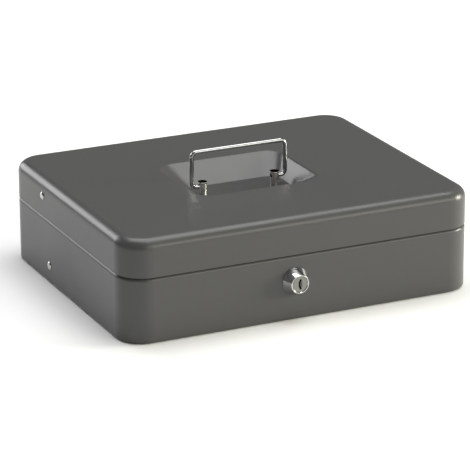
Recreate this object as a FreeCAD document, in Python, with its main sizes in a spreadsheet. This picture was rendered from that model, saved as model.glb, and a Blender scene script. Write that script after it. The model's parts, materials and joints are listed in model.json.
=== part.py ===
import FreeCAD, Part
import math
import os
from types import SimpleNamespace

import Sketcher
from FreeCAD import Placement, Rotation, Vector

# Steel cash box with a hinged lid, a sunk folding handle, a cam lock, two folding lid stays
# and a coin tray. Millimetres. +X is the width, -Y the lock's side, +Z up, and the origin is
# the middle of the footprint, on the surface that the box stands on.

DIMENSIONS = {
    # whole box
    "box_width": 305.0,
    "box_depth": 245.0,
    "box_top": 85.0,
    "sheet": 1.0,
    "wall_corner": 23.0,
    # lid
    "lid_edge": 54.3,
    "lid_top_round": 8.75,
    # base
    "base_top": 54.0,
    "base_round": 3.0,
    "shoulder_round": 3.0,
    "shoulder_inner_round": 1.6,
    "edge_round": 0.45,
    "rim_inset": 1.9,
    "rim_top": 62.0,
    # handle recess in the lid
    "mouth_x": 55.0,
    "mouth_y": 45.0,
    "mouth_corner": 14.5,
    "recess_floor": 70.5,
    "floor_x": 42.0,
    "floor_y": 20.0,
    "floor_corner": 10.0,
    "well_lip_round": 3.0,
    "well_floor_round": 3.0,
    # handle
    "post_x": 32.5,
    "post_radius": 3.65,
    "post_top": 81.8,
    "post_bore": 3.2,
    "post_rim": 4.2,
    "post_shank": 2.6,
    "post_eye": 1.6,
    "post_clench": 4.1,
    "washer_radius": 6.0,
    "washer_sheet": 1.0,
    "bail_x": 42.0,
    "bail_top": 107.5,
    "bail_axis": 78.0,
    "bail_bend": 4.7,
    "bail_foot_bend": 3.6,
    "wire_radius": 1.75,
    # hinge
    "hinge_y": 124.8,
    "hinge_z": 52.2,
    "knuckle_radius": 2.0,
    "knuckle_pitch": 28.0,
    "knuckle_gap": 0.3,
    "pin_radius": 1.15,
    "running_gap": 0.07,
    "leaf_sheet": 0.8,
    "pin_overhang": 0.5,
    "weld_radius": 2.2,
    "weld_depth": 0.25,
    "base_leaf_bottom": 37.0,
    "base_leaf_top": 49.4,
    "lid_leaf_bottom": 55.2,
    "lid_leaf_top": 69.0,
    # lock
    "lock_x": -8.6,
    "lock_z": 32.5,
    "bezel_base": 11.4,
    "bezel_face": 7.4,
    "bezel_height": 9.0,
    "barrel_radius": 8.0,
    "barrel_end": -107.0,
    "plug_head": 6.5,
    "plug_radius": 5.4,
    "nut_flats": 20.0,
    "nut_height": 3.5,
    "tang_half": 3.0,
    "tapped_radius": 1.5,
    "tapped_depth": 5.5,
    "wafer_half": 2.9,
    "wafer_window_x": 1.5,
    "wafer_window_y": 3.6,
    "wafer_sheet": 0.6,
    "cam_reach": 19.8,
    "cam_nose": 3.6,
    "cam_arm": 7.0,
    "cam_sheet": 1.5,
    "cam_hub": 7.0,
    "screw_head": 3.6,
    "screw_top": 2.2,
    # keeper inside the lid
    "keeper_sheet": 1.5,
    "keeper_offset": 10.0,
    "keeper_bottom": 39.5,
    "keeper_top": 75.0,
    "keeper_back": -101.0,
    "keeper_flange": 24.0,
    "keeper_weld_bottom": 63.4,
    "keeper_waist": 58.0,
    "keeper_clear": 1.4,
    "window_low": 10.4,
    "window_high": 18.4,
    "window_margin": 1.6,
    "window_corner": 1.2,
    # lid stays
    "stay_lid_y": 50.0,
    "stay_lid_z": 72.0,
    "stay_base_y": 37.5,
    "stay_base_z": 15.5,
    "lower_link_x": 148.6,
    "upper_link_x": 147.1,
    "link_sheet": 1.2,
    "link_half_width": 4.5,
    "link_rivet": 2.0,
    "open_pivot_gap": 0.25,
    "side_gap": 0.1,
    "bush_radius": 3.4,
    "clench_radius": 3.3,
    "clench_height": 0.9,
    "base_head_radius": 3.4,
    "base_head_height": 1.2,
    "lid_head_radius": 3.15,
    "lid_head_height": 1.2,
    "elbow_head_radius": 3.3,
    "elbow_head_height": 0.7,
    "lid_opening": 100.0,
    # coin tray and its rails
    "tray_x": 141.5,
    "tray_front": -97.0,
    "tray_back": 116.0,
    "tray_floor": 34.0,
    "tray_top": 60.0,
    "tray_wall": 2.0,
    "tray_split": -14.0,
    "tray_corner": 10.0,
    "tray_foot_round": 3.0,
    "tray_lip_round": 0.6,
    "coin_corner": 8.0,
    "coin_scoop": 7.5,
    "note_corner": 12.0,
    "note_scoop": 4.0,
    "rail_x": 143.0,
    "rail_foot": 126.0,
    "rail_ledge": 131.0,
    "rail_top": 40.0,
    "rail_front": -75.0,
    "rail_back": 95.0,
}

doc = FreeCAD.newDocument("cash_box")


class Size:
    """A length: its value now, and the expression that keeps it tied to the sheet."""

    def __init__(self, value, text):
        self.value = value
        self.text = text

    @staticmethod
    def of(number):
        if isinstance(number, Size):
            return number
        return Size(float(number), repr(float(number)))

    def join(self, sign, other, value):
        return Size(value, f"({self.text} {sign} {Size.of(other).text})")

    def __add__(self, other):
        return self.join("+", other, self.value + Size.of(other).value)

    def __sub__(self, other):
        return self.join("-", other, self.value - Size.of(other).value)

    def __mul__(self, other):
        return self.join("*", other, self.value * Size.of(other).value)

    def __truediv__(self, other):
        return self.join("/", other, self.value / Size.of(other).value)

    def __rsub__(self, other):
        return Size.of(other) - self

    def __radd__(self, other):
        return Size.of(other) + self

    def __rmul__(self, other):
        return Size.of(other) * self

    def __neg__(self):
        return Size(-self.value, f"(0 - {self.text})")


def make_sheet(values):
    """Write the driving dimensions to a spreadsheet and give each back as a Size."""
    sheet = doc.addObject("Spreadsheet::Sheet", "Dims")
    for row, (alias, value) in enumerate(values.items(), start=1):
        sheet.set(f"A{row}", alias)
        sheet.set(f"B{row}", str(value))
        sheet.setAlias(f"B{row}", alias)
    doc.recompute()
    return SimpleNamespace(**{alias: Size(value, f"Dims.{alias}") for alias, value in values.items()})


D = make_sheet(DIMENSIONS)

# Sizes that several sub-parts share
HALF_X = D.box_width / 2
HALF_Y = D.box_depth / 2
RIM_X = HALF_X - D.rim_inset
RIM_Y = HALF_Y - D.rim_inset
ELBOW_Y = D.stay_base_y + D.stay_lid_y - D.hinge_y
ELBOW_Z = D.stay_base_z + D.stay_lid_z - D.hinge_z
SIDES = {"left": -1, "right": 1}
KNUCKLES = 7

sub_parts = []


# ---- helpers -------------------------------------------------------------------------------

def bind(item, path, size):
    """Set one property of an object from a Size, through the sheet."""
    item.setExpression(path, Size.of(size).text)


def new_body(name):
    body = doc.addObject("PartDesign::Body", name)
    body.Label = name
    body.AllowCompound = True
    sub_parts.append(body)
    return body


def new_sketch(body, role, lift=0.0):
    """A sketch on one of the body's origin planes, lifted along the plane's normal."""
    sketch = body.newObject("Sketcher::SketchObject", f"{body.Name}_sketch")
    plane = [feature for feature in body.Origin.OriginFeatures if feature.Role == role][0]
    sketch.AttachmentSupport = [(plane, "")]
    sketch.MapMode = "FlatFace"
    bind(sketch, "AttachmentOffset.Base.z", lift)
    return sketch


def pin_point(sketch, geometry, end, across, up):
    """Fix a sketch point at two Sizes from the sketch's origin."""
    for kind, size in (("DistanceX", across), ("DistanceY", up)):
        size = Size.of(size)
        index = sketch.addConstraint(Sketcher.Constraint(kind, -1, 1, geometry, end, size.value))
        bind(sketch, f"Constraints[{index}]", size)


def polygon(sketch, points):
    """A closed outline of straight lines through points given as pairs of Sizes."""
    places = [Vector(Size.of(a).value, Size.of(b).value, 0) for a, b in points]
    first = sketch.GeometryCount
    count = len(points)
    for i in range(count):
        sketch.addGeometry(Part.LineSegment(places[i], places[(i + 1) % count]), False)
    for i in range(count):
        sketch.addConstraint(Sketcher.Constraint("Coincident", first + i, 2, first + (i + 1) % count, 1))
        pin_point(sketch, first + i, 1, *points[i])


def rectangle(sketch, low, high):
    polygon(sketch, [low, (high[0], low[1]), high, (low[0], high[1])])


def circle(sketch, across, up, radius):
    centre = Vector(Size.of(across).value, Size.of(up).value, 0)
    radius = Size.of(radius)
    geometry = sketch.addGeometry(Part.Circle(centre, Vector(0, 0, 1), radius.value), False)
    pin_point(sketch, geometry, 3, across, up)
    index = sketch.addConstraint(Sketcher.Constraint("Radius", geometry, radius.value))
    bind(sketch, f"Constraints[{index}]", radius)


def rounded_outline(sketch, centres, radius):
    """Arcs of one radius about the centres, counter-clockwise, joined by tangent lines."""
    radius = Size.of(radius)
    places = [Vector(Size.of(a).value, Size.of(b).value, 0) for a, b in centres]
    count = len(places)
    headings = []
    for i in range(count):
        run = places[(i + 1) % count] - places[i]
        headings.append(math.atan2(run.y, run.x))
    arcs = []
    for i in range(count):
        start = headings[i - 1] - math.pi / 2
        end = headings[i] - math.pi / 2
        while end <= start:
            end += 2 * math.pi
        shape = Part.ArcOfCircle(Part.Circle(places[i], Vector(0, 0, 1), radius.value), start, end)
        arcs.append(sketch.addGeometry(shape, False))
    for i in range(count):
        after = (i + 1) % count
        side = Vector(math.sin(headings[i]), -math.cos(headings[i]), 0) * radius.value
        line = sketch.addGeometry(Part.LineSegment(places[i] + side, places[after] + side), False)
        sketch.addConstraint(Sketcher.Constraint("Tangent", arcs[i], 2, line, 1))
        sketch.addConstraint(Sketcher.Constraint("Tangent", line, 2, arcs[after], 1))
    for i in range(count):
        pin_point(sketch, arcs[i], 3, *centres[i])
    index = sketch.addConstraint(Sketcher.Constraint("Radius", arcs[0], radius.value))
    bind(sketch, f"Constraints[{index}]", radius)
    for arc in arcs[1:]:
        sketch.addConstraint(Sketcher.Constraint("Equal", arcs[0], arc))


def rounded_rectangle(sketch, half_x, half_y, radius, centre=(0.0, 0.0)):
    reach_x = Size.of(half_x) - radius
    reach_y = Size.of(half_y) - radius
    corners = [(-1, -1), (1, -1), (1, 1), (-1, 1)]
    centres = [(centre[0] + reach_x * sx, centre[1] + reach_y * sy) for sx, sy in corners]
    rounded_outline(sketch, centres, radius)


def volume_before(body):
    doc.recompute()
    return body.Shape.Volume if body.Tip else 0.0


def check_change(body, feature, before, adds):
    doc.recompute()
    change = body.Shape.Volume - before
    if "Invalid" in feature.State or (change > 0) != adds:
        raise RuntimeError(f"{feature.Name} {feature.State} changed the volume by {change:.3f}")
    return feature


def extrude(body, kind, sketch, length, reverse=False, both=False):
    """A Pad or Pocket of a sketch: reverse goes against the sketch's normal for a Pad."""
    before = volume_before(body)
    feature = body.newObject(f"PartDesign::{kind}", f"{body.Name}_{kind.lower()}")
    feature.Profile = sketch
    feature.Reversed = reverse
    feature.Midplane = both
    bind(feature, "Length", length)
    return check_change(body, feature, before, kind == "Pad")


def pad(body, sketch, length, **options):
    return extrude(body, "Pad", sketch, length, **options)


def pocket(body, sketch, length, **options):
    return extrude(body, "Pocket", sketch, length, **options)


def turn(body, sketch, kind="Revolution"):
    """Turn a sketch about its own vertical axis, to add or to cut."""
    before = volume_before(body)
    feature = body.newObject(f"PartDesign::{kind}", f"{body.Name}_{kind.lower()}")
    feature.Profile = sketch
    feature.ReferenceAxis = (sketch, ["V_Axis"])
    feature.Angle = 360.0
    return check_change(body, feature, before, kind == "Revolution")


def dress(body, kind, radius, wanted):
    """Fillet or chamfer the edges of the body's last shape that pass a test."""
    doc.recompute()
    base = body.Tip
    names = [f"Edge{i}" for i, edge in enumerate(base.Shape.Edges, start=1) if wanted(edge)]
    if not names:
        raise RuntimeError(f"{body.Name}: no edge to {kind.lower()}")
    feature = body.newObject(f"PartDesign::{kind}", f"{body.Name}_{kind.lower()}")
    feature.Base = (base, names)
    bind(feature, "Radius" if kind == "Fillet" else "Size", radius)
    doc.recompute()
    if "Invalid" in feature.State:
        raise RuntimeError(f"{feature.Name} failed on {len(names)} edges")
    return feature


def fillet(body, radius, wanted):
    return dress(body, "Fillet", radius, wanted)


def at_height(height):
    """A test for edges that lie flat at one height."""
    level = Size.of(height).value
    return lambda edge: abs(edge.BoundBox.ZMin - level) < 0.01 and abs(edge.BoundBox.ZMax - level) < 0.01


def loft(body, kind, lower, upper):
    before = volume_before(body)
    feature = body.newObject(f"PartDesign::{kind}Loft", f"{body.Name}_loft")
    feature.Profile = lower
    feature.Sections = [upper]
    feature.Ruled = True
    return check_change(body, feature, before, kind == "Additive")


def place(body, across, depth, height, rotation=Rotation()):
    body.Placement = Placement(Vector(0, 0, 0), rotation)
    bind(body, "Placement.Base.x", across)
    bind(body, "Placement.Base.y", depth)
    bind(body, "Placement.Base.z", height)


# ---- base ----------------------------------------------------------------------------------

def under_shoulder(edge):
    """The outer edges of the flat ring below the base's shoulder, inside the wall."""
    box = edge.BoundBox
    reach = max(abs(box.XMin), abs(box.XMax)) > RIM_X.value or max(abs(box.YMin), abs(box.YMax)) > RIM_Y.value
    return at_height(D.base_top - D.sheet)(edge) and reach


def make_base_shell():
    """Pressed tray with a set-in rim that stands up inside the lid."""
    body = new_body("base_shell")
    rim_corner = D.wall_corner - D.rim_inset

    sketch = new_sketch(body, "XY_Plane")
    rounded_rectangle(sketch, HALF_X, HALF_Y, D.wall_corner)
    pad(body, sketch, D.base_top)
    fillet(body, D.base_round, at_height(0.0))
    fillet(body, D.shoulder_round, at_height(D.base_top))

    sketch = new_sketch(body, "XY_Plane", D.base_top - D.sheet)
    rounded_rectangle(sketch, RIM_X, RIM_Y, rim_corner)
    pad(body, sketch, D.rim_top - D.base_top + D.sheet)

    sketch = new_sketch(body, "XY_Plane", D.rim_top)
    rounded_rectangle(sketch, RIM_X - D.sheet, RIM_Y - D.sheet, rim_corner - D.sheet)
    pocket(body, sketch, D.rim_top - D.base_top + D.sheet)

    sketch = new_sketch(body, "XY_Plane", D.base_top - D.sheet)
    rounded_rectangle(sketch, HALF_X - D.sheet, HALF_Y - D.sheet, D.wall_corner - D.sheet)
    pocket(body, sketch, D.base_top - 2 * D.sheet)
    fillet(body, D.base_round - D.sheet, at_height(D.sheet))
    fillet(body, D.shoulder_inner_round, under_shoulder)
    fillet(body, D.edge_round, at_height(D.rim_top))

    sketch = new_sketch(body, "XZ_Plane", HALF_Y - 2 * D.sheet)
    circle(sketch, D.lock_x, D.lock_z, D.barrel_radius + 0.1)
    pocket(body, sketch, 4 * D.sheet, reverse=True)

    sketch = new_sketch(body, "YZ_Plane")
    circle(sketch, D.stay_base_y, D.stay_base_z, D.link_rivet)
    pocket(body, sketch, D.box_width, both=True)


def make_rail(side, sign):
    """Folded ledge, welded to the floor beside the wall, that the coin tray sits on."""
    body = new_body(f"tray_rail_{side}")
    sketch = new_sketch(body, "XZ_Plane", -D.rail_back)
    inner = D.rail_x - D.sheet
    under = D.tray_floor - D.sheet
    outline = [
        (D.rail_foot, D.sheet),
        (D.rail_x, D.sheet),
        (D.rail_x, D.rail_top),
        (inner, D.rail_top),
        (inner, D.tray_floor),
        (D.rail_ledge, D.tray_floor),
        (D.rail_ledge, under),
        (inner, under),
        (inner, 2 * D.sheet),
        (D.rail_foot, 2 * D.sheet),
    ]
    polygon(sketch, [(across * sign, up) for across, up in outline])
    pad(body, sketch, D.rail_back - D.rail_front)


def make_coin_tray():
    """Moulded tray: a row of scooped coin wells in front of three note bays."""
    body = new_body("coin_tray")
    middle = (D.tray_front + D.tray_back) / 2
    sketch = new_sketch(body, "XY_Plane", D.tray_floor)
    rounded_rectangle(sketch, D.tray_x, (D.tray_back - D.tray_front) / 2, D.tray_corner, (0.0, middle))
    pad(body, sketch, D.tray_top - D.tray_floor)
    fillet(body, D.tray_foot_round, at_height(D.tray_floor))

    rows = [
        (6, D.tray_front + D.tray_wall, D.tray_split - D.tray_wall / 2, D.coin_corner, D.coin_scoop),
        (3, D.tray_split + D.tray_wall / 2, D.tray_back - D.tray_wall, D.note_corner, D.note_scoop),
    ]
    for wells, front, back, corner, _ in rows:
        pitch = (D.tray_x * 2 - D.tray_wall) / wells
        half_x = (pitch - D.tray_wall) / 2
        half_y = (back - front) / 2
        sketch = new_sketch(body, "XY_Plane", D.tray_top)
        for i in range(wells):
            across = pitch * (i - (wells - 1) / 2)
            rounded_rectangle(sketch, half_x, half_y, corner, (across, (front + back) / 2))
        pocket(body, sketch, D.tray_top - D.tray_floor - D.tray_wall)
    fillet(body, D.tray_lip_round, at_height(D.tray_top))

    for _, front, back, _, scoop in rows:
        low, high = front.value, back.value

        def on_floor(edge, low=low, high=high):
            box = edge.BoundBox
            flat = at_height(D.tray_floor + D.tray_wall)(edge)
            return flat and box.YMin > low - 0.1 and box.YMax < high + 0.1

        fillet(body, scoop, on_floor)


# ---- lid -----------------------------------------------------------------------------------

def make_lid_shell():
    """Pressed lid with a deep skirt and a sunk well for the handle."""
    body = new_body("lid_shell")
    sketch = new_sketch(body, "XY_Plane", D.lid_edge)
    rounded_rectangle(sketch, HALF_X, HALF_Y, D.wall_corner)
    pad(body, sketch, D.box_top - D.lid_edge)

    sketch = new_sketch(body, "XY_Plane", D.lid_edge)
    rounded_rectangle(sketch, HALF_X - D.sheet, HALF_Y - D.sheet, D.wall_corner - D.sheet)
    pocket(body, sketch, D.box_top - D.lid_edge - D.sheet, reverse=True)
    fillet(body, D.lid_top_round - D.sheet, at_height(D.box_top - D.sheet))
    fillet(body, D.lid_top_round, at_height(D.box_top))

    # The well's underside is the well's own form, one sheet lower and that much wider.
    add_well_form(body, "Additive", D.sheet, D.sheet * 0.35)
    add_well_form(body, "Subtractive", Size.of(0.0), Size.of(0.0))

    def around_well(height, reach_x):
        level = at_height(height)
        limit = Size.of(reach_x).value + 1.0
        return lambda edge: level(edge) and edge.BoundBox.XMax < limit and edge.BoundBox.XMin > -limit

    fillet(body, D.well_lip_round, around_well(D.box_top, D.mouth_x))
    fillet(body, D.well_lip_round - D.sheet, around_well(D.box_top - D.sheet, D.mouth_x))
    fillet(body, D.well_floor_round, around_well(D.recess_floor, D.floor_x))
    fillet(body, D.well_floor_round + D.sheet, around_well(D.recess_floor - D.sheet, D.floor_x))

    sketch = new_sketch(body, "XY_Plane", D.recess_floor + D.sheet)
    for sign in SIDES.values():
        circle(sketch, D.post_x * sign, 0.0, D.post_shank)
    pocket(body, sketch, 4 * D.sheet)

    sketch = new_sketch(body, "YZ_Plane")
    circle(sketch, D.stay_lid_y, D.stay_lid_z, D.link_rivet)
    pocket(body, sketch, D.box_width + 4 * D.sheet, both=True)


def add_well_form(body, kind, drop, wider):
    """The handle well's tapered form, lowered and widened, to add or to cut."""
    floor = new_sketch(body, "XY_Plane", D.recess_floor - drop)
    rounded_rectangle(floor, D.floor_x + wider, D.floor_y + wider, D.floor_corner + wider)
    mouth = new_sketch(body, "XY_Plane", D.box_top - drop)
    rounded_rectangle(mouth, D.mouth_x + wider, D.mouth_y + wider, D.mouth_corner + wider)
    loft(body, kind, floor, mouth)


def make_keeper():
    """Welded plate inside the lid's front, with a tab whose window takes the cam's nose."""
    body = new_body("lock_keeper")
    skin = D.sheet - HALF_Y
    tab_x = D.lock_x + D.keeper_offset
    sketch = new_sketch(body, "XZ_Plane", -skin)
    rectangle(sketch, (tab_x - D.keeper_flange, D.keeper_weld_bottom), (tab_x + D.keeper_sheet, D.keeper_top))
    pad(body, sketch, D.keeper_sheet, reverse=True)

    clear = D.sheet - RIM_Y + D.keeper_clear
    sketch = new_sketch(body, "YZ_Plane", tab_x)
    polygon(sketch, [
        (skin, D.keeper_weld_bottom),
        (clear, D.keeper_weld_bottom),
        (clear, D.keeper_bottom + 3.0),
        (clear + 3.0, D.keeper_bottom),
        (D.keeper_back, D.keeper_bottom),
        (D.keeper_back, D.keeper_waist),
        (D.keeper_back - 10.0, D.keeper_top),
        (skin, D.keeper_top),
    ])
    pad(body, sketch, D.keeper_sheet)

    window = new_sketch(body, "YZ_Plane", tab_x)
    window_front = D.barrel_end - D.window_margin
    window_back = D.barrel_end + D.cam_sheet + D.window_margin + 0.4
    window_low = D.lock_z + D.window_low
    window_high = D.lock_z + D.window_high
    rectangle(window, (window_front, window_low), (window_back, window_high))
    pocket(body, window, D.keeper_sheet * 2, both=True)

    def in_window(edge):
        """The four short corner edges of the window."""
        box = edge.BoundBox
        at_end = any(abs(box.YMin - size.value) < 0.01 for size in (window_front, window_back))
        at_side = any(abs(box.ZMin - size.value) < 0.01 for size in (window_low, window_high))
        return at_end and at_side and box.YLength < 0.01 and box.ZLength < 0.01

    fillet(body, D.window_corner, in_window)


# ---- handle --------------------------------------------------------------------------------

def make_handle_post(side, sign):
    """Tubular rivet that stands in the well: the bail's foot turns in its cross hole."""
    body = new_body(f"handle_post_{side}")
    sketch = new_sketch(body, "XZ_Plane")
    floor = D.recess_floor
    clench = floor - D.sheet - D.washer_sheet
    polygon(sketch, [
        (D.post_eye, clench - 1.4),
        (D.post_clench, clench - 1.4),
        (D.post_clench, clench - 0.7),
        (D.post_shank, clench),
        (D.post_shank, floor),
        (D.post_radius, floor),
        (D.post_radius, D.post_top - 1.6),
        (D.post_rim, D.post_top - 0.4),
        (D.post_rim, D.post_top),
        (D.post_rim - 0.3, D.post_top),
        (D.post_bore, D.post_top - 1.8),
        (D.post_bore, floor + 2.0),
        (D.post_eye, floor + 1.2),
    ])
    turn(body, sketch)
    fillet(body, 0.12, at_height(D.post_top))
    cross = new_sketch(body, "YZ_Plane")
    circle(cross, 0.0, D.bail_axis, D.wire_radius + D.running_gap)
    pocket(body, cross, D.post_radius * 4, both=True)
    place(body, D.post_x * sign, 0.0, 0.0)


def make_post_washer(side, sign):
    body = new_body(f"post_washer_{side}")
    sketch = new_sketch(body, "XY_Plane", D.recess_floor - D.sheet - D.washer_sheet)
    circle(sketch, 0.0, 0.0, D.washer_radius)
    circle(sketch, 0.0, 0.0, D.post_shank)
    pad(body, sketch, D.washer_sheet)
    place(body, D.post_x * sign, 0.0, 0.0)


def make_bail():
    """Bent wire handle: its two feet point inwards, into the posts."""
    body = new_body("handle_bail")
    foot_x = D.post_x - 1.2
    path = new_sketch(body, "XZ_Plane")
    corners = [
        (-foot_x, D.bail_axis),
        (-D.bail_x, D.bail_axis),
        (-D.bail_x, D.bail_top),
        (D.bail_x, D.bail_top),
        (D.bail_x, D.bail_axis),
        (foot_x, D.bail_axis),
    ]
    bends = [D.bail_foot_bend, D.bail_bend, D.bail_bend, D.bail_foot_bend]
    open_path(path, corners, bends)
    profile = new_sketch(body, "YZ_Plane", -foot_x)
    circle(profile, 0.0, D.bail_axis, D.wire_radius)
    doc.recompute()
    pipe = body.newObject("PartDesign::AdditivePipe", "handle_bail_pipe")
    pipe.Profile = profile
    pipe.Spine = (path, [f"Edge{i + 1}" for i in range(path.GeometryCount)])
    doc.recompute()
    fillet(body, 0.5, lambda edge: edge.BoundBox.XLength < 0.01 and abs(edge.BoundBox.XMin) < 35.0)


def open_path(sketch, corners, bends):
    """Straight runs through the corners, with a tangent arc of its own radius at each bend."""
    places = [Vector(Size.of(a).value, Size.of(b).value, 0) for a, b in corners]
    last = places[0]
    joint = None
    for i in range(1, len(places)):
        if i < len(places) - 1:
            radius = bends[i - 1].value
            back = (places[i - 1] - places[i]).normalize()
            ahead = (places[i + 1] - places[i]).normalize()
            enter = places[i] + back * radius
            leave = places[i] + ahead * radius
            centre = places[i] + (back + ahead) * radius
            turns_left = back.y * ahead.x - back.x * ahead.y > 0
            spread = [math.atan2(spot.y - centre.y, spot.x - centre.x) for spot in (enter, leave)]
        else:
            enter = places[i]
        line = sketch.addGeometry(Part.LineSegment(last, enter), False)
        if joint:
            sketch.addConstraint(Sketcher.Constraint("Tangent", *joint, line, 1))
        if i == len(places) - 1:
            pin_point(sketch, line, 2, *corners[i])
            return
        if i == 1:
            pin_point(sketch, line, 1, *corners[0])
        first, final = spread if turns_left else reversed(spread)
        round_ = Part.Circle(centre, Vector(0, 0, 1), radius)
        arc = sketch.addGeometry(Part.ArcOfCircle(round_, first, final), False)
        near, far = (1, 2) if turns_left else (2, 1)
        sketch.addConstraint(Sketcher.Constraint("Tangent", line, 2, arc, near))
        number = sketch.addConstraint(Sketcher.Constraint("Radius", arc, radius))
        bind(sketch, f"Constraints[{number}]", bends[i - 1])
        kind = "Horizontal" if abs(back.y) < 0.001 else "Vertical"
        sketch.addConstraint(Sketcher.Constraint(kind, line))
        if kind == "Vertical" or i == 3:
            axis = "DistanceX" if kind == "Vertical" else "DistanceY"
            size = corners[i][0] if kind == "Vertical" else corners[i][1]
            number = sketch.addConstraint(Sketcher.Constraint(axis, -1, 1, line, 1, size.value))
            bind(sketch, f"Constraints[{number}]", size)
        joint = (arc, far)
        last = leave


# ---- hinge ---------------------------------------------------------------------------------

def make_hinge_leaf(name, knuckles, flat, leaf_y, bore):
    """Sheet leaf on the box's back: some of the knuckles, tied to the flat by short tongues."""
    body = new_body(name)
    start = D.knuckle_pitch * (-KNUCKLES / 2)
    sketch = new_sketch(body, "XZ_Plane", -leaf_y)
    low, high = flat
    rectangle(sketch, (start, low), (-start, high))
    pad(body, sketch, D.leaf_sheet)

    for i in knuckles:
        left = start + D.knuckle_pitch * i + D.knuckle_gap / 2
        width = D.knuckle_pitch - D.knuckle_gap
        tongue = new_sketch(body, "XZ_Plane", -leaf_y)
        rectangle(tongue, (left, min_size(low, D.hinge_z)), (left + width, max_size(high, D.hinge_z)))
        pad(body, tongue, D.leaf_sheet)
        ring = new_sketch(body, "YZ_Plane", left)
        circle(ring, D.hinge_y, D.hinge_z, D.knuckle_radius)
        pad(body, ring, width)
    hole = new_sketch(body, "YZ_Plane")
    circle(hole, D.hinge_y, D.hinge_z, bore)
    pocket(body, hole, D.box_width, both=True)

    weld = new_sketch(body, "XZ_Plane", -leaf_y)
    middle = (low + high) / 2
    for i in range(KNUCKLES):
        circle(weld, start + D.knuckle_pitch * (i + 0.5), middle, D.weld_radius)
    pocket(body, weld, D.weld_depth, reverse=True)


def min_size(one, other):
    return one if one.value < other.value else other


def max_size(one, other):
    return one if one.value > other.value else other


def make_hinge_pin():
    body = new_body("hinge_pin")
    length = D.knuckle_pitch * KNUCKLES + D.pin_overhang * 2
    sketch = new_sketch(body, "YZ_Plane")
    circle(sketch, D.hinge_y, D.hinge_z, D.pin_radius)
    pad(body, sketch, length, both=True)
    fillet(body, 0.4, lambda edge: edge.BoundBox.XLength < 0.01)


# ---- lock ----------------------------------------------------------------------------------
# The lock's turned pieces are drawn upright about their own axis, with their height pointing
# out of the box's front, and then laid down on the lock's axis.

LAID_DOWN = Rotation(Vector(1, 0, 0), 90)
FRONT = -HALF_Y
PLUG_FACE = D.bezel_height - 0.4
WAFER_HEIGHTS = [2.0 - 2.25 * i for i in range(5)]


def lay_down(body):
    place(body, D.lock_x, FRONT, D.lock_z, LAID_DOWN)


def make_lock_housing():
    """Cam lock's barrel with its tapered, plated bezel."""
    body = new_body("lock_housing")
    inner_end = D.barrel_end - FRONT
    sketch = new_sketch(body, "XZ_Plane")
    face = D.bezel_height
    polygon(sketch, [
        (D.plug_radius + D.running_gap, -inner_end),
        (D.barrel_radius, -inner_end),
        (D.barrel_radius, 0.0),
        (D.bezel_base, 0.0),
        (D.bezel_base, 0.9),
        (D.bezel_face + 0.3, face - 0.4),
        (D.bezel_face, face),
        (D.plug_head + 0.4, face),
        (D.plug_head + D.running_gap, face - 0.4),
        (D.plug_head + D.running_gap, face - 4.0),
        (D.plug_radius + D.running_gap, face - 4.0),
    ])
    turn(body, sketch)
    lay_down(body)


def make_lock_nut():
    """Flat hexagon nut that clamps the lock to the front wall from inside."""
    body = new_body("lock_nut")
    corner = D.nut_flats / math.sqrt(3)
    sketch = new_sketch(body, "XY_Plane", -D.sheet - D.nut_height)
    spots = [(corner * math.cos(math.pi * k / 3), corner * math.sin(math.pi * k / 3)) for k in range(6)]
    polygon(sketch, spots)
    circle(sketch, 0.0, 0.0, D.barrel_radius)
    pad(body, sketch, D.nut_height)
    lay_down(body)


def make_lock_plug():
    """Stepped plug with a curved keyway, and a square tang behind for the cam."""
    body = new_body("lock_plug")
    inner_end = D.barrel_end - FRONT
    sketch = new_sketch(body, "XZ_Plane")
    step = D.bezel_height - 3.9
    polygon(sketch, [
        (0.0, -inner_end - 0.1),
        (D.plug_radius, -inner_end - 0.1),
        (D.plug_radius, step),
        (D.plug_head, step),
        (D.plug_head, PLUG_FACE - 0.3),
        (D.plug_head - 0.3, PLUG_FACE),
        (0.0, PLUG_FACE),
    ])
    turn(body, sketch)

    tang = new_sketch(body, "XY_Plane", -inner_end - 0.1 - D.cam_sheet)
    rectangle(tang, (-D.tang_half, -D.tang_half), (D.tang_half, D.tang_half))
    pad(body, tang, D.cam_sheet)

    for height in WAFER_HEIGHTS:
        slot = new_sketch(body, "XY_Plane", height)
        rectangle(slot, (-D.wafer_half - 0.05, -D.plug_head), (D.wafer_half + 0.05, D.plug_head))
        pocket(body, slot, D.wafer_sheet + 0.1, both=True)

    keyway = new_sketch(body, "XY_Plane", PLUG_FACE)
    ring_slot(keyway, Size.of(6.2), Size.of(0.85), 146.0, 214.0, Size.of(5.6))
    pocket(body, keyway, 16.0)
    ward = new_sketch(body, "XY_Plane", PLUG_FACE)
    ring_slot(ward, Size.of(6.2), Size.of(0.35), 163.0, 197.0, Size.of(7.4))
    pocket(body, ward, 16.0)
    bore = new_sketch(body, "XY_Plane", -inner_end - 0.1 - D.cam_sheet)
    circle(bore, 0.0, 0.0, D.tapped_radius)
    pocket(body, bore, D.tapped_depth + 0.5, reverse=True)
    lay_down(body)


def make_wafers():
    """Flat spring-loaded tumblers in the plug's slots, drawn level with the plug's wall."""
    body = new_body("lock_wafers")
    for height in WAFER_HEIGHTS:
        wafer = new_sketch(body, "XY_Plane", height)
        rectangle(wafer, (-D.wafer_half, D.plug_radius * -0.8), (D.wafer_half, D.plug_radius * 0.8))
        window = (D.wafer_window_x, D.wafer_window_y)
        rectangle(wafer, (-window[0], -window[1]), window)
        pad(body, wafer, D.wafer_sheet, both=True)
    lay_down(body)


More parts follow.
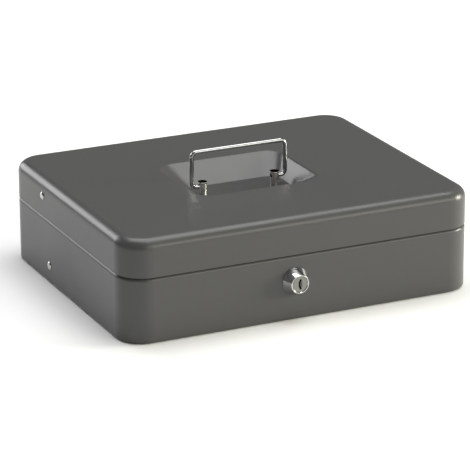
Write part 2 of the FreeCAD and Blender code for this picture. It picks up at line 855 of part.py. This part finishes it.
def make_cam():
    """Cam plate: an arm with a nose that runs ahead of it round the lock's axis."""
    body = new_body("lock_cam")
    plate = D.barrel_end - FRONT + 0.1 + D.cam_sheet
    hub = new_sketch(body, "XY_Plane", -plate)
    circle(hub, 0.0, 0.0, D.cam_hub)
    pad(body, hub, D.cam_sheet)
    middle_radius = D.cam_reach - D.cam_nose / 2
    arm = new_sketch(body, "XY_Plane", -plate)
    rectangle(arm, (-D.cam_reach + 0.6, D.cam_arm / -2), (Size.of(0.0), D.cam_arm / 2))
    pad(body, arm, D.cam_sheet)
    nose = new_sketch(body, "XY_Plane", -plate)
    ring_slot(nose, middle_radius, D.cam_nose / 2, 130.0, 186.0)
    pad(body, nose, D.cam_sheet)
    square = new_sketch(body, "XY_Plane", -plate)
    rectangle(square, (-D.tang_half, -D.tang_half), (D.tang_half, D.tang_half))
    pocket(body, square, D.cam_sheet, reverse=True)
    lay_down(body)


def ring_slot(sketch, radius, half_width, low, high, centre_x=Size(0.0, "0")):
    """A slot bent round a centre on the sketch's X axis between two angles, with round ends."""
    flat = Vector(0, 0, 1)
    centre = Vector(centre_x.value, 0, 0)
    low = math.radians(low)
    high = math.radians(high)
    inner = radius.value - half_width.value
    outer = radius.value + half_width.value
    ends = [centre + Vector(math.cos(bend), math.sin(bend), 0) * radius.value for bend in (low, high)]
    shapes = [
        Part.ArcOfCircle(Part.Circle(centre, flat, outer), low, high),
        Part.ArcOfCircle(Part.Circle(ends[1], flat, half_width.value), high, high + math.pi),
        Part.ArcOfCircle(Part.Circle(centre, flat, inner), low, high),
        Part.ArcOfCircle(Part.Circle(ends[0], flat, half_width.value), low + math.pi, low + 2 * math.pi),
    ]
    first = [sketch.addGeometry(shape, False) for shape in shapes][0]
    joins = [(0, 2, 1, 1), (1, 2, 2, 2), (2, 1, 3, 1), (3, 2, 0, 1)]
    for one, one_end, other, other_end in joins:
        sketch.addConstraint(Sketcher.Constraint("Tangent", first + one, one_end, first + other, other_end))
    for arc, size in ((0, radius + half_width), (2, radius - half_width)):
        pin_point(sketch, first + arc, 3, centre_x, 0.0)
        number = sketch.addConstraint(Sketcher.Constraint("Radius", first + arc, size.value))
        bind(sketch, f"Constraints[{number}]", size)


def make_cam_screw():
    body = new_body("cam_screw")
    seat = D.barrel_end - FRONT + 0.1 + D.cam_sheet
    sketch = new_sketch(body, "XZ_Plane")
    polygon(sketch, [
        (0.0, -seat - D.screw_top),
        (D.screw_head - 1.0, -seat - D.screw_top),
        (D.screw_head, -seat - 1.4),
        (D.screw_head, -seat),
        (D.tapped_radius, -seat),
        (D.tapped_radius, D.tapped_depth - seat),
        (0.0, D.tapped_depth - seat),
    ])
    turn(body, sketch)
    cross = new_sketch(body, "XY_Plane", -seat - D.screw_top)
    polygon(cross, [
        (-1.8, -0.4), (-0.4, -0.4), (-0.4, -1.8), (0.4, -1.8), (0.4, -0.4), (1.8, -0.4),
        (1.8, 0.4), (0.4, 0.4), (0.4, 1.8), (-0.4, 1.8), (-0.4, 0.4), (-1.8, 0.4),
    ])
    pocket(body, cross, 1.2, reverse=True)
    lay_down(body)


# ---- lid stays -----------------------------------------------------------------------------

def plate_between(body, sign, near_x, ends, radius):
    """A flat link with round ends, from near_x inwards by one link sheet."""
    outward = near_x * sign
    sketch = new_sketch(body, "YZ_Plane", outward)
    rounded_outline(sketch, [ends[0], ends[1]], radius)
    pad(body, sketch, D.link_sheet, reverse=sign > 0)


def make_lower_link(side, sign):
    """Link from the base's rivet to the elbow, with a bent lug that stops the lid fully open."""
    body = new_body(f"stay_lower_{side}")
    base_end = (D.stay_base_y, D.stay_base_z)
    elbow = (ELBOW_Y, ELBOW_Z)
    plate_between(body, sign, D.lower_link_x, (elbow, base_end), D.link_half_width)

    # Local axes of the link: along from the base's rivet to the elbow, and across it.
    along = Vector(ELBOW_Y.value - D.stay_base_y.value, ELBOW_Z.value - D.stay_base_z.value, 0)
    along.normalize()
    across = Vector(along.y, -along.x, 0)
    upper = math.atan2(D.hinge_z.value - D.stay_base_z.value, D.hinge_y.value - D.stay_base_y.value)
    folded = math.atan2(along.y, along.x) - upper
    left_to_straight = folded - math.radians(D.lid_opening.value)
    lug_near = D.link_half_width.value * 2
    touch = D.link_half_width.value + 0.25
    lug_side = (lug_near * math.sin(left_to_straight) - touch) / math.cos(left_to_straight)

    def spot(forward, sideways):
        step = along * forward + across * sideways
        return (ELBOW_Y + step.x, ELBOW_Z + step.y)

    half = D.link_half_width.value
    far = lug_near + D.link_sheet.value
    outward = D.lower_link_x * sign
    ear = new_sketch(body, "YZ_Plane", outward)
    polygon(ear, [spot(0, -half), spot(far, -half), spot(far, lug_side), spot(0, lug_side)])
    pad(body, ear, D.link_sheet, reverse=sign > 0)
    lug = new_sketch(body, "YZ_Plane", outward)
    polygon(lug, [spot(lug_near, -half), spot(far, -half), spot(far, lug_side), spot(lug_near, lug_side)])
    pad(body, lug, D.lower_link_x - D.upper_link_x + D.link_sheet, reverse=sign > 0)

    for centre, radius in ((base_end, D.link_rivet + D.running_gap), (elbow, D.link_rivet)):
        hole = new_sketch(body, "YZ_Plane", outward)
        circle(hole, *centre, radius)
        pocket(body, hole, D.link_sheet * 2, both=True)


def make_upper_link(side, sign):
    """Link from the elbow to the lid's rivet."""
    body = new_body(f"stay_upper_{side}")
    elbow = (ELBOW_Y, ELBOW_Z)
    lid_end = (D.stay_lid_y, D.stay_lid_z)
    plate_between(body, sign, D.upper_link_x, (elbow, lid_end), D.link_half_width)
    for centre, gap in ((elbow, D.open_pivot_gap), (lid_end, D.running_gap)):
        hole = new_sketch(body, "YZ_Plane", D.upper_link_x * sign)
        circle(hole, *centre, D.link_rivet + gap)
        pocket(body, hole, D.link_sheet * 2, both=True)


def make_rivet(name, sign, spot, outside_x, inside_x, head):
    """Rivet through a wall and a link: a domed head outside and a flat clench inside."""
    body = new_body(name)
    head_radius, head_height = head
    grip = outside_x - inside_x
    sketch = new_sketch(body, "XZ_Plane")
    polygon(sketch, [
        (0.0, -grip - D.clench_height),
        (D.clench_radius - 0.3, -grip - D.clench_height),
        (D.clench_radius, -grip - 0.5),
        (D.clench_radius, -grip),
        (D.link_rivet, -grip),
        (D.link_rivet, 0.0),
        (head_radius, 0.0),
        (head_radius, 0.35),
        (head_radius * 0.72, head_height * 0.86),
        (head_radius * 0.36, head_height),
        (0.0, head_height),
    ])
    turn(body, sketch)
    place(body, outside_x * sign, *spot, Rotation(Vector(0, 1, 0), 90 * sign))


def make_bush(name, sign, spot, outside_x, inside_x):
    """Spacer on a stay rivet, between the wall and the link."""
    body = new_body(name)
    sketch = new_sketch(body, "YZ_Plane", inside_x * sign)
    circle(sketch, *spot, D.bush_radius)
    circle(sketch, *spot, D.link_rivet)
    pad(body, sketch, outside_x - inside_x, reverse=sign < 0)


# ---- build ---------------------------------------------------------------------------------

def make_all():
    make_base_shell()
    make_lid_shell()
    make_keeper()
    make_coin_tray()
    make_bail()
    even = range(0, KNUCKLES, 2)
    odd = range(1, KNUCKLES, 2)
    base_flat = (D.base_leaf_bottom, D.base_leaf_top)
    lid_flat = (D.lid_leaf_bottom, D.lid_leaf_top)
    make_hinge_leaf("hinge_leaf_base", even, base_flat, HALF_Y + D.leaf_sheet, D.pin_radius)
    make_hinge_leaf("hinge_leaf_lid", odd, lid_flat, HALF_Y + D.leaf_sheet, D.pin_radius + D.running_gap)
    make_hinge_pin()
    make_lock_housing()
    make_lock_nut()
    make_lock_plug()
    make_wafers()
    make_cam()
    make_cam_screw()
    base_spot = (D.stay_base_y, D.stay_base_z)
    lid_spot = (D.stay_lid_y, D.stay_lid_z)
    elbow_spot = (ELBOW_Y, ELBOW_Z)
    base_head = (D.base_head_radius, D.base_head_height)
    lid_head = (D.lid_head_radius, D.lid_head_height)
    elbow_head = (D.elbow_head_radius, D.elbow_head_height)
    lower_back = D.lower_link_x - D.link_sheet - D.side_gap
    upper_back = D.upper_link_x - D.link_sheet - D.side_gap
    for side, sign in SIDES.items():
        make_rail(side, sign)
        make_handle_post(side, sign)
        make_post_washer(side, sign)
        make_lower_link(side, sign)
        make_upper_link(side, sign)
        make_rivet(f"stay_rivet_base_{side}", sign, base_spot, HALF_X, lower_back, base_head)
        make_rivet(f"stay_rivet_lid_{side}", sign, lid_spot, HALF_X, upper_back, lid_head)
        make_rivet(f"stay_rivet_elbow_{side}", sign, elbow_spot, D.lower_link_x, upper_back, elbow_head)
        bush_base = (HALF_X - D.sheet, D.lower_link_x + D.side_gap)
        bush_lid = (HALF_X - D.sheet, D.upper_link_x + D.side_gap)
        make_bush(f"stay_bush_base_{side}", sign, base_spot, *bush_base)
        make_bush(f"stay_bush_lid_{side}", sign, lid_spot, *bush_lid)


def check_document():
    """Stop unless every object is up to date and every sub-part is a valid solid."""
    for item in doc.Objects:
        if any(word in item.State for word in ("Invalid", "Error")):
            raise RuntimeError(f"{item.Label} is {item.State}")
    for part in sub_parts:
        shape = part.Shape
        if shape.isNull() or not shape.isValid() or not shape.Solids:
            raise RuntimeError(f"{part.Label} has no valid solid")


make_all()
doc.recompute()
check_document()
os.makedirs("parts", exist_ok=True)
for part in sub_parts:
    part.Shape.exportStep(f"parts/{part.Label}.step")
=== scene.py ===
import json
import math

import bpy
from mathutils import Matrix, Vector


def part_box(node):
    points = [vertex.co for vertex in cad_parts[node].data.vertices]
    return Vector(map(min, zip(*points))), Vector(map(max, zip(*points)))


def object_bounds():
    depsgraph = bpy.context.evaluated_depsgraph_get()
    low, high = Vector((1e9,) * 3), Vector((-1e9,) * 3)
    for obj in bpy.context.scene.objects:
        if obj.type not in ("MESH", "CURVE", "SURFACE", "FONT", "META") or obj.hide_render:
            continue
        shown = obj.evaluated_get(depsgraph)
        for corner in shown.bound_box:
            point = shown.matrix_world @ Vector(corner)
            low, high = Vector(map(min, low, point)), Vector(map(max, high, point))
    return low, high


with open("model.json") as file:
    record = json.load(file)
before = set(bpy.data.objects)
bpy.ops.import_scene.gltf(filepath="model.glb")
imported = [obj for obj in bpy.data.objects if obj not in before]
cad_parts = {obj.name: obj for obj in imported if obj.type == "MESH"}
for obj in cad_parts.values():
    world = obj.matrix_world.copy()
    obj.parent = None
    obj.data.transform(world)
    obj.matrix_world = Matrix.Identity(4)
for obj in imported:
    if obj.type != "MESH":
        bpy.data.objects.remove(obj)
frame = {"nodes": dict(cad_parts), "record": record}
CAD_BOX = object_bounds()

# Lengths below are in metres. MM turns a size in millimetres into metres, and a pattern's
# scale is one over the size of its lumps. In a colour Mix node, inputs 6 and 7 are the two
# colours and output 2 is their mix.
MM = 0.001


# ---- materials -----------------------------------------------------------------------------

def srgb(code):
    """A hex colour as the linear values that the shaders work in."""
    parts = [int(code[i:i + 2], 16) / 255 for i in (1, 3, 5)]
    return tuple(p / 12.92 if p <= 0.04045 else ((p + 0.055) / 1.055) ** 2.4 for p in parts) + (1.0,)


def add(tree, kind, inputs=None, **settings):
    """Add a node with its settings: each input gets a value, or a link from another's output."""
    node = tree.nodes.new(kind)
    for name, value in settings.items():
        setattr(node, name, value)
    for name, value in (inputs or {}).items():
        if isinstance(value, bpy.types.NodeSocket):
            tree.links.new(value, node.inputs[name])
        else:
            node.inputs[name].default_value = value
    return node


def blank_material(name):
    """A material with an empty node tree."""
    material = bpy.data.materials.new(name)
    material.use_nodes = True
    material.node_tree.nodes.clear()
    return material, material.node_tree


def stove_enamel():
    """Anthracite stove enamel, sprayed on pressed steel and baked: a dark grey satin skin that
    blurs what it mirrors, with faint orange peel and slow drifts in its gloss."""
    material, tree = blank_material("anthracite_stove_enamel")
    place = add(tree, "ShaderNodeTexCoord").outputs["Object"]
    drift = add(tree, "ShaderNodeTexNoise", {"Vector": place, "Scale": 1 / (55 * MM), "Detail": 3.0})
    peel = add(tree, "ShaderNodeTexNoise", {"Vector": place, "Scale": 1 / (1.3 * MM), "Detail": 2.0})
    # Pigment grit is about 0.05 mm across; it is drawn at 0.4 mm so that it shows.
    grit = add(tree, "ShaderNodeTexNoise", {"Vector": place, "Scale": 1 / (0.4 * MM), "Detail": 1.0})
    shade = add(tree, "ShaderNodeMix", {
        "Factor": grit.outputs["Fac"], 6: srgb("#454545"), 7: srgb("#4d4d4d"),
    }, data_type="RGBA")
    gloss = add(tree, "ShaderNodeMapRange", {
        "Value": drift.outputs["Fac"], "From Min": 0.3, "From Max": 0.7, "To Min": 0.28, "To Max": 0.34,
    })
    skin = add(tree, "ShaderNodeBump", {
        "Height": peel.outputs["Fac"], "Distance": 0.012 * MM, "Strength": 0.4,
    })
    paint = add(tree, "ShaderNodeBsdfPrincipled", {
        "Base Color": shade.outputs[2], "Roughness": gloss.outputs["Result"],
        "Normal": skin.outputs["Normal"], "IOR": 1.46,
    })
    add(tree, "ShaderNodeOutputMaterial", {"Surface": paint.outputs["BSDF"]})
    return material


def bright_plated_wire():
    """Bright chrome plate on drawn steel wire: a smooth mirror, hazed a little where fingers
    hold it."""
    material, tree = blank_material("chrome_plated_steel_wire")
    place = add(tree, "ShaderNodeTexCoord").outputs["Object"]
    haze = add(tree, "ShaderNodeTexNoise", {"Vector": place, "Scale": 1 / (9 * MM), "Detail": 3.0})
    shade = add(tree, "ShaderNodeMix", {
        "Factor": haze.outputs["Fac"], 6: srgb("#a4a5a7"), 7: srgb("#bebfc0"),
    }, data_type="RGBA")
    gloss = add(tree, "ShaderNodeMapRange", {
        "Value": haze.outputs["Fac"], "From Min": 0.3, "From Max": 0.7, "To Min": 0.04, "To Max": 0.09,
    })
    plate = add(tree, "ShaderNodeBsdfPrincipled", {
        "Base Color": shade.outputs[2], "Roughness": gloss.outputs["Result"], "Metallic": 1.0,
    })
    add(tree, "ShaderNodeOutputMaterial", {"Surface": plate.outputs["BSDF"]})
    return material


def polished_bezel():
    """Polished chrome on turned zinc alloy: a hard bright mirror with barely any tool marks."""
    material, tree = blank_material("polished_chrome_on_zinc_alloy")
    place = add(tree, "ShaderNodeTexCoord").outputs["Object"]
    marks = add(tree, "ShaderNodeTexNoise", {"Vector": place, "Scale": 1 / (0.6 * MM), "Detail": 2.0})
    shade = add(tree, "ShaderNodeMix", {
        "Factor": marks.outputs["Fac"], 6: srgb("#c6c7c8"), 7: srgb("#dcdddd"),
    }, data_type="RGBA")
    gloss = add(tree, "ShaderNodeMapRange", {
        "Value": marks.outputs["Fac"], "From Min": 0.3, "From Max": 0.7, "To Min": 0.05, "To Max": 0.11,
    })
    plate = add(tree, "ShaderNodeBsdfPrincipled", {
        "Base Color": shade.outputs[2], "Roughness": gloss.outputs["Result"], "Metallic": 1.0,
    })
    add(tree, "ShaderNodeOutputMaterial", {"Surface": plate.outputs["BSDF"]})
    return material


def satin_plug():
    """Satin nickel on the die-cast key plug: fine turned rings round the lock's axis that
    spread each highlight across them, and a little handling dirt between."""
    material, tree = blank_material("satin_nickel_plug")
    place = add(tree, "ShaderNodeTexCoord").outputs["Object"]
    low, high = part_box("lock_plug")
    middle = [-(a + b) / 2 for a, b in zip(low, high)]
    # The plug's axis runs along Y. Turned rings are about 0.1 mm apart; here they are 0.5 mm
    # apart so that they show.
    centred = add(tree, "ShaderNodeMapping", {
        "Vector": place, "Location": (middle[0], middle[2], 0.0), "Rotation": (-math.pi / 2, 0.0, 0.0),
    })
    rings = add(tree, "ShaderNodeTexWave", {
        "Vector": centred.outputs["Vector"], "Scale": 1 / (3.2 * MM), "Distortion": 0.4, "Detail": 1.0,
    }, wave_type="RINGS", rings_direction="Z")
    grain = add(tree, "ShaderNodeTexNoise", {"Vector": place, "Scale": 1 / (0.5 * MM), "Detail": 2.0})
    shade = add(tree, "ShaderNodeMix", {
        "Factor": grain.outputs["Fac"], 6: srgb("#777671"), 7: srgb("#92918b"),
    }, data_type="RGBA")
    gloss = add(tree, "ShaderNodeMapRange", {
        "Value": grain.outputs["Fac"], "From Min": 0.3, "From Max": 0.7, "To Min": 0.26, "To Max": 0.38,
    })
    skin = add(tree, "ShaderNodeBump", {
        "Height": rings.outputs["Fac"], "Distance": 0.015 * MM, "Strength": 0.4,
    })
    metal = add(tree, "ShaderNodeBsdfPrincipled", {
        "Base Color": shade.outputs[2], "Roughness": gloss.outputs["Result"],
        "Normal": skin.outputs["Normal"], "Metallic": 1.0,
    })
    add(tree, "ShaderNodeOutputMaterial", {"Surface": metal.outputs["BSDF"]})
    return material


def tumbled_nickel():
    """Nickel on small steel rivets, tumbled bright: a soft mirror with tiny dings."""
    material, tree = blank_material("tumbled_nickel_plate")
    place = add(tree, "ShaderNodeTexCoord").outputs["Object"]
    dings = add(tree, "ShaderNodeTexVoronoi", {"Vector": place, "Scale": 1 / (0.9 * MM)})
    film = add(tree, "ShaderNodeTexNoise", {"Vector": place, "Scale": 1 / (2.5 * MM), "Detail": 3.0})
    shade = add(tree, "ShaderNodeMix", {
        "Factor": film.outputs["Fac"], 6: srgb("#b0afa9"), 7: srgb("#d3d3cf"),
    }, data_type="RGBA")
    gloss = add(tree, "ShaderNodeMapRange", {
        "Value": film.outputs["Fac"], "From Min": 0.3, "From Max": 0.7, "To Min": 0.12, "To Max": 0.22,
    })
    skin = add(tree, "ShaderNodeBump", {
        "Height": dings.outputs["Distance"], "Distance": 0.02 * MM, "Strength": 0.3,
    })
    metal = add(tree, "ShaderNodeBsdfPrincipled", {
        "Base Color": shade.outputs[2], "Roughness": gloss.outputs["Result"],
        "Normal": skin.outputs["Normal"], "Metallic": 1.0,
    })
    add(tree, "ShaderNodeOutputMaterial", {"Surface": metal.outputs["BSDF"]})
    return material


def nickel_tube():
    """Nickel on the handle's tubular rivets: bright and soft outside. The bore is painted near-black as
    shade and made rougher."""
    material, tree = blank_material("nickel_plated_steel_tube")
    coordinates = add(tree, "ShaderNodeTexCoord")
    place = coordinates.outputs["Object"]
    low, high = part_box("handle_post_right")
    post_x = (low[0] + high[0]) / 2
    shifted = add(tree, "ShaderNodeVectorMath", {
        0: place, 1: (post_x, 0.0, 0.0),
    }, operation="SUBTRACT")
    # Both tubes stand as far from the middle, so one wrap brings each to its own axis.
    own = add(tree, "ShaderNodeVectorMath", {
        0: shifted.outputs["Vector"], 1: (post_x, 1.0, 1.0), 2: (-post_x, -1.0, -1.0),
    }, operation="WRAP")
    outward = add(tree, "ShaderNodeVectorMath", {
        0: own.outputs["Vector"], 1: (1.0, 1.0, 0.0),
    }, operation="MULTIPLY")
    # This is the tube's radius on its outer face, and minus the bore's radius in the bore.
    facing = add(tree, "ShaderNodeVectorMath", {
        0: outward.outputs["Vector"], 1: coordinates.outputs["Normal"],
    }, operation="DOT_PRODUCT")
    # Mask of the bore's faces, where painted shade goes.
    bore_mask_painted_shade = add(tree, "ShaderNodeMapRange", {
        "Value": facing.outputs["Value"], "From Min": -0.8 * MM, "From Max": 0.2 * MM,
        "To Min": 1.0, "To Max": 0.0,
    })
    film = add(tree, "ShaderNodeTexNoise", {"Vector": place, "Scale": 1 / (2.5 * MM), "Detail": 3.0})
    plate = add(tree, "ShaderNodeMix", {
        "Factor": film.outputs["Fac"], 6: srgb("#d2d1cc"), 7: srgb("#eeede9"),
    }, data_type="RGBA")
    # In the bore the plate gives way to near-black painted shade.
    shade = add(tree, "ShaderNodeMix", {
        "Factor": bore_mask_painted_shade.outputs["Result"], 6: plate.outputs[2], 7: srgb("#12110f"),
    }, data_type="RGBA")
    gloss = add(tree, "ShaderNodeMapRange", {
        "Value": film.outputs["Fac"], "From Min": 0.3, "From Max": 0.7, "To Min": 0.20, "To Max": 0.30,
    })
    dulled = add(tree, "ShaderNodeMath", {
        0: bore_mask_painted_shade.outputs["Result"], 1: 0.4, 2: gloss.outputs["Result"],
    }, operation="MULTIPLY_ADD")
    metal = add(tree, "ShaderNodeBsdfPrincipled", {
        "Base Color": shade.outputs[2], "Roughness": dulled.outputs["Value"], "Metallic": 1.0,
    })
    add(tree, "ShaderNodeOutputMaterial", {"Surface": metal.outputs["BSDF"]})
    return material


def blue_zinc():
    """Blue passivated zinc on rolled and pressed steel: milky grey metal, clouded where the
    bath was uneven, over the strip's rolling lines."""
    material, tree = blank_material("blue_zinc_plate")
    place = add(tree, "ShaderNodeTexCoord").outputs["Object"]
    cloud = add(tree, "ShaderNodeTexNoise", {"Vector": place, "Scale": 1 / (8 * MM), "Detail": 4.0})
    rolled = add(tree, "ShaderNodeMapping", {"Vector": place, "Scale": (1.0, 14.0, 14.0)})
    lines = add(tree, "ShaderNodeTexNoise", {
        "Vector": rolled.outputs["Vector"], "Scale": 1 / (12 * MM), "Detail": 2.0,
    })
    shade = add(tree, "ShaderNodeMix", {
        "Factor": cloud.outputs["Fac"], 6: srgb("#9ca3a8"), 7: srgb("#c4c5c1"),
    }, data_type="RGBA")
    gloss = add(tree, "ShaderNodeMapRange", {
        "Value": cloud.outputs["Fac"], "From Min": 0.3, "From Max": 0.7, "To Min": 0.24, "To Max": 0.40,
    })
    skin = add(tree, "ShaderNodeBump", {
        "Height": lines.outputs["Fac"], "Distance": 0.02 * MM, "Strength": 0.35,
    })
    metal = add(tree, "ShaderNodeBsdfPrincipled", {
        "Base Color": shade.outputs[2], "Roughness": gloss.outputs["Result"],
        "Normal": skin.outputs["Normal"], "Metallic": 1.0,
    })
    add(tree, "ShaderNodeOutputMaterial", {"Surface": metal.outputs["BSDF"]})
    return material


def stamped_brass():
    """Bare brass strip, blanked in a press: warm yellow, dulled brown in patches by air."""
    material, tree = blank_material("stamped_brass")
    place = add(tree, "ShaderNodeTexCoord").outputs["Object"]
    dull = add(tree, "ShaderNodeTexNoise", {"Vector": place, "Scale": 1 / (2.2 * MM), "Detail": 3.0})
    shade = add(tree, "ShaderNodeMix", {
        "Factor": dull.outputs["Fac"], 6: srgb("#a98138"), 7: srgb("#dcbb6b"),
    }, data_type="RGBA")
    gloss = add(tree, "ShaderNodeMapRange", {
        "Value": dull.outputs["Fac"], "From Min": 0.3, "From Max": 0.7, "To Min": 0.20, "To Max": 0.38,
    })
    metal = add(tree, "ShaderNodeBsdfPrincipled", {
        "Base Color": shade.outputs[2], "Roughness": gloss.outputs["Result"], "Metallic": 1.0,
    })
    add(tree, "ShaderNodeOutputMaterial", {"Surface": metal.outputs["BSDF"]})
    return material


def moulded_polystyrene():
    """Black polystyrene from a spark-eroded mould: dull fine grain with a low sheen, and flow
    marks that shift the grey a little."""
    material, tree = blank_material("moulded_black_polystyrene")
    place = add(tree, "ShaderNodeTexCoord").outputs["Object"]
    grain = add(tree, "ShaderNodeTexNoise", {"Vector": place, "Scale": 1 / (0.5 * MM), "Detail": 3.0})
    flow = add(tree, "ShaderNodeTexNoise", {"Vector": place, "Scale": 1 / (38 * MM), "Distortion": 0.8})
    shade = add(tree, "ShaderNodeMix", {
        "Factor": flow.outputs["Fac"], 6: srgb("#1b1b1d"), 7: srgb("#29292b"),
    }, data_type="RGBA")
    gloss = add(tree, "ShaderNodeMapRange", {
        "Value": grain.outputs["Fac"], "From Min": 0.3, "From Max": 0.7, "To Min": 0.40, "To Max": 0.56,
    })
    skin = add(tree, "ShaderNodeBump", {
        "Height": grain.outputs["Fac"], "Distance": 0.05 * MM, "Strength": 0.5,
    })
    plastic = add(tree, "ShaderNodeBsdfPrincipled", {
        "Base Color": shade.outputs[2], "Roughness": gloss.outputs["Result"],
        "Normal": skin.outputs["Normal"], "IOR": 1.59,
    })
    add(tree, "ShaderNodeOutputMaterial", {"Surface": plastic.outputs["BSDF"]})
    return material


def matt_paper():
    """White background paper: matt, with slow unevenness in its white."""
    material, tree = blank_material("matt_white_paper")
    place = add(tree, "ShaderNodeTexCoord").outputs["Object"]
    cloud = add(tree, "ShaderNodeTexNoise", {"Vector": place, "Scale": 1 / (900 * MM), "Detail": 1.0})
    shade = add(tree, "ShaderNodeMix", {
        "Factor": cloud.outputs["Fac"], 6: srgb("#f4f4f4"), 7: srgb("#fafafa"),
    }, data_type="RGBA")
    paper = add(tree, "ShaderNodeBsdfPrincipled", {"Base Color": shade.outputs[2], "Roughness": 0.9})
    add(tree, "ShaderNodeOutputMaterial", {"Surface": paper.outputs["BSDF"]})
    return material


def dress_nodes():
    """Give every CAD node the finish of its material slot."""
    finishes = {
        "anthracite_paint": stove_enamel(),
        "wire_chrome": bright_plated_wire(),
        "lock_chrome": polished_bezel(),
        "lock_face": satin_plug(),
        "rivet_nickel": tumbled_nickel(),
        "post_nickel": nickel_tube(),
        "zinc_plate": blue_zinc(),
        "brass": stamped_brass(),
        "tray_plastic": moulded_polystyrene(),
    }
    for item in frame["record"]["subparts"]:
        mesh = frame["nodes"][item["node"]].data
        mesh.materials.clear()
        mesh.materials.append(finishes[item["material_slot"]])


# ---- camera, light and floor ---------------------------------------------------------------

# The camera stands to the front left and a little above. It aims past the middle of the box
# by AIM_RIGHT and AIM_UP. The lens and the sensor are in millimetres.
AZIMUTH = math.radians(-25.055)
ELEVATION = math.radians(19.296)
ROLL = math.radians(-0.196)
DISTANCE = 2.3268
AIM_RIGHT = -3.11 * MM
AIM_UP = -11.10 * MM
LENS = 217.04
SENSOR_WIDTH = 36.0
CLIP_END = 50.0

WORLD_STRENGTH = 0.16
FLOOR_REACH = 30.0


def make_camera():
    """A long lens on the front left corner, a little above the lid."""
    back = Vector((
        math.sin(AZIMUTH) * math.cos(ELEVATION),
        -math.cos(AZIMUTH) * math.cos(ELEVATION),
        math.sin(ELEVATION),
    ))
    level = Vector((math.cos(AZIMUTH), math.sin(AZIMUTH), 0.0))
    upright = back.cross(level)
    right = level * math.cos(ROLL) + upright * math.sin(ROLL)
    up = upright * math.cos(ROLL) - level * math.sin(ROLL)
    lid_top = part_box("lid_shell")[1][2]
    target = Vector((0.0, 0.0, lid_top / 2)) + right * AIM_RIGHT + up * AIM_UP
    data = bpy.data.cameras.new("camera")
    data.lens = LENS
    data.sensor_width = SENSOR_WIDTH
    data.clip_end = CLIP_END
    camera = bpy.data.objects.new("camera", data)
    bpy.context.scene.collection.objects.link(camera)
    facing = Matrix((right, up, back)).transposed().to_4x4()
    camera.matrix_world = Matrix.Translation(target + back * DISTANCE) @ facing
    bpy.context.scene.camera = camera


def make_soft_box(name, place, size, power, colour="#ffffff"):
    """A rectangular soft light of so many watts that faces the middle of the floor."""
    data = bpy.data.lights.new(name, "AREA")
    data.shape = "RECTANGLE"
    data.size, data.size_y = size
    data.energy = power
    data.color = srgb(colour)[:3]
    light = bpy.data.objects.new(name, data)
    bpy.context.scene.collection.objects.link(light)
    light.location = place
    light.rotation_euler = (-Vector(place)).to_track_quat("-Z", "Y").to_euler()


def make_studio():
    """Soft boxes overhead, in front, low behind on the left and on the right, over white paper."""
    world = bpy.data.worlds.new("studio")
    world.use_nodes = True
    background = world.node_tree.nodes["Background"]
    background.inputs["Color"].default_value = srgb("#ffffff")
    background.inputs["Strength"].default_value = WORLD_STRENGTH
    bpy.context.scene.world = world
    make_soft_box("overhead", (0.2, 0.25, 2.0), (2.1, 1.6), 46.0, "#fbfcfb")
    make_soft_box("front", (1.0, -2.1, 0.85), (1.6, 0.9), 17.0, "#fdfaec")
    make_soft_box("back_left", (-0.85, 2.2, 0.74), (1.1, 0.9), 17.0)
    make_soft_box("right", (3.6, -1.3, 0.84), (1.3, 1.3), 165.0, "#fcf9e6")
    bpy.context.scene.view_settings.view_transform = "Standard"

    corners = [(x * FLOOR_REACH, y * FLOOR_REACH, 0) for x, y in ((-1, -1), (1, -1), (1, 1), (-1, 1))]
    mesh = bpy.data.meshes.new("floor")
    mesh.from_pydata(corners, [], [(0, 1, 2, 3)])
    mesh.materials.append(matt_paper())
    floor = bpy.data.objects.new("floor", mesh)
    bpy.context.scene.collection.objects.link(floor)
    floor.location.z = CAD_BOX[0][2]


dress_nodes()
make_camera()
make_studio()
